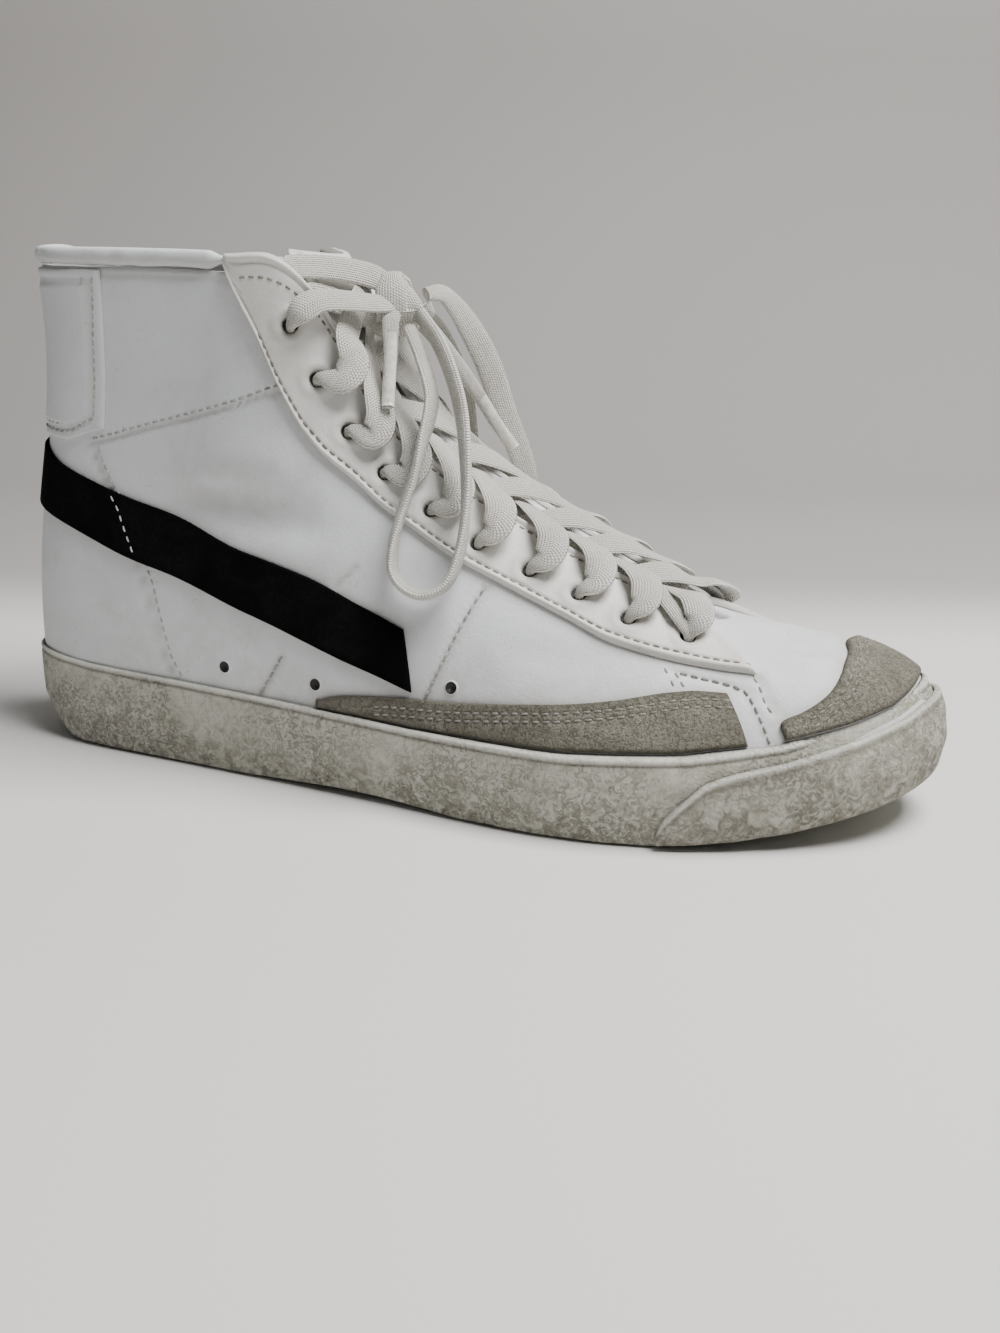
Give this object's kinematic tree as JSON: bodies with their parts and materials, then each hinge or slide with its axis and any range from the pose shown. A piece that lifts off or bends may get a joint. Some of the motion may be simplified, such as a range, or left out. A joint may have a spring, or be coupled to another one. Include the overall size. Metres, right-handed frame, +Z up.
{
  "type": "high-top sneaker",
  "caption": "Worn lace-up high-top basketball sneaker for the right foot, empty, with rubber sole, suede toe cap and side panels, tongue and tied flat laces.",
  "frame": {"origin": "on the ground under the middle of the shoe's bounding box", "axes": "+X towards the toe, +Z up, -Y towards the outer side of the right foot"},
  "size_m": [0.3002, 0.1064, 0.1605],
  "materials": {
    "white_leather": "smooth white leather, lightly creased",
    "cream_leather": "smooth off-white leather, folded edges",
    "grey_suede": "warm grey napped suede, dirty",
    "black_suede": "black napped suede",
    "insole_cloth": "matte woven cloth",
    "sole_rubber": "dirty off-white vulcanised rubber, scuffed",
    "lace_cotton": "flat woven cream lace"
  },
  "bodies": {
    "root": {"upper": "white_leather", "heel_tab": "white_leather", "collar_roll": "white_leather", "eyestay_outer": "cream_leather", "eyestay_inner": "cream_leather", "tongue": "cream_leather", "side_panel_outer": "grey_suede", "side_panel_inner": "grey_suede", "toe_cap": "grey_suede", "side_band_outer": "black_suede", "side_band_inner": "black_suede", "insole": "insole_cloth", "sole_tray": "sole_rubber", "outsole": "sole_rubber", "toe_bumper": "sole_rubber", "lace_bars": "lace_cotton", "lace_knot": "lace_cotton", "lace_loop_outer": "lace_cotton", "lace_loop_inner": "lace_cotton", "lace_end_outer": "lace_cotton", "lace_end_inner": "lace_cotton"}
  },
  "joints": []
}
